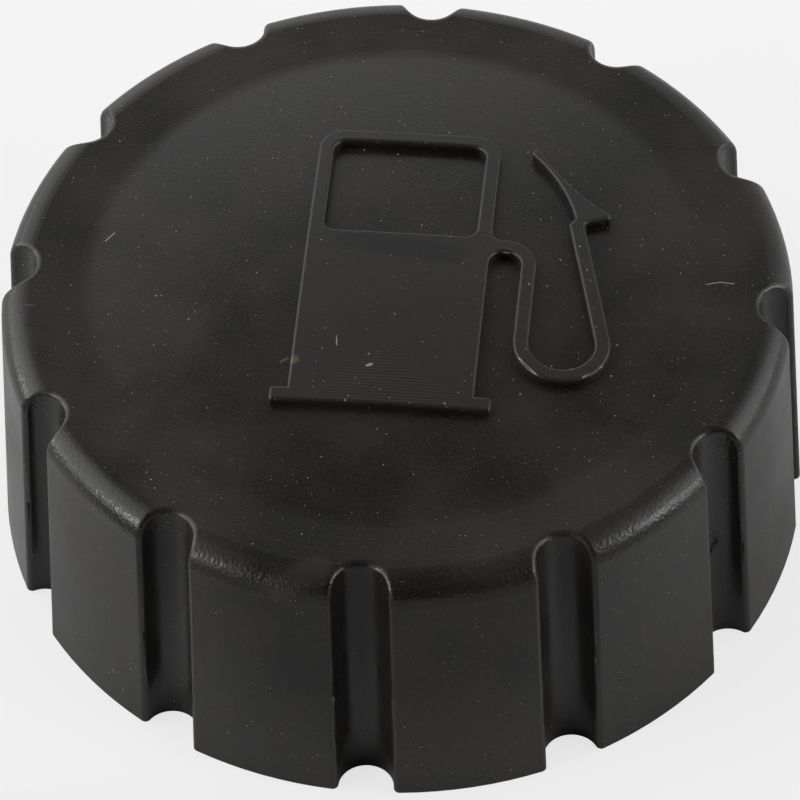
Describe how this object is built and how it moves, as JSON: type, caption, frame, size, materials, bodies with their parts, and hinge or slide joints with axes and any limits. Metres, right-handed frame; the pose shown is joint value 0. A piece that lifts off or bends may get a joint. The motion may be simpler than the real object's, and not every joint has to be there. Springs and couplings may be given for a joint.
{
  "type": "fuel filler cap",
  "caption": "Round screw-on fuel tank cap with a fluted grip, a shallow domed top with a raised pump sign, a threaded collar and a vented baffle inside.",
  "frame": {"origin": "centre of the mouth, in the plane of the skirt's rim", "axes": "+Z points out of the domed top; +Y is the upright of the raised pump sign; +X is the side of the sign's hose"},
  "size_m": [0.0822, 0.0822, 0.0341],
  "materials": {
    "shell": "black moulded nylon, finely grained, lightly scuffed and dusty",
    "gasket": "matt nitrile rubber",
    "baffle": "natural acetal, satin",
    "valve": "smooth fluorocarbon rubber",
    "foam": "open-cell reticulated foam, charcoal"
  },
  "bodies": {
    "root": {"cap_shell": "shell", "sealing_gasket": "gasket", "splash_baffle": "baffle", "vent_valve": "valve", "filter_pad": "foam"}
  },
  "joints": []
}
